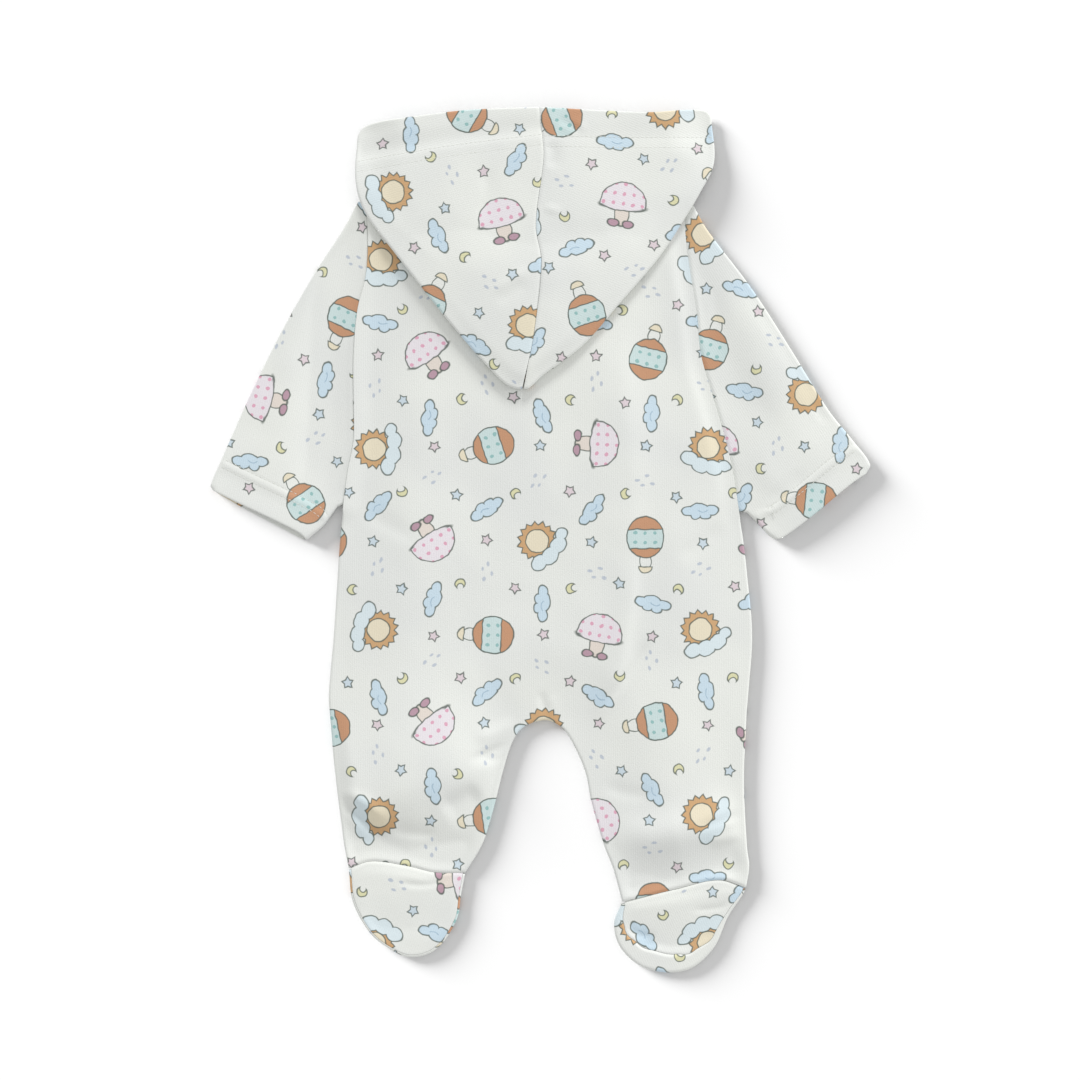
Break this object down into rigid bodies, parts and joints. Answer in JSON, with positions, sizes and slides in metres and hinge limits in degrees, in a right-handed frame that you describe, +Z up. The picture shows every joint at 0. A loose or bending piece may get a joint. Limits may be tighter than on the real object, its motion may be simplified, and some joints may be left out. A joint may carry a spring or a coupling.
{
  "type": "hooded footed baby sleepsuit",
  "caption": "Hooded baby sleepsuit with long sleeves and closed feet, laid flat with its back up and the hood spread over the shoulders.",
  "frame": {"origin": "on the surface the suit lies on, under the middle of its bounding box", "axes": "+Y from the feet toward the hood, +Z up out of the surface, +X toward the wearer's right sleeve as the back faces up"},
  "size_m": [0.444, 0.5868, 0.0111],
  "materials": {
    "printed_knit": "soft brushed knit, off-white with a small pastel print",
    "sewing_thread": "matt off-white thread"
  },
  "bodies": {
    "root": {"back": "printed_knit", "front_left": "printed_knit", "front_right": "printed_knit", "sleeve_left": "printed_knit", "sleeve_right": "printed_knit", "hood_left": "printed_knit", "hood_right": "printed_knit", "sole_left": "printed_knit", "sole_right": "printed_knit", "toe_left": "printed_knit", "toe_right": "printed_knit"}
  },
  "joints": []
}
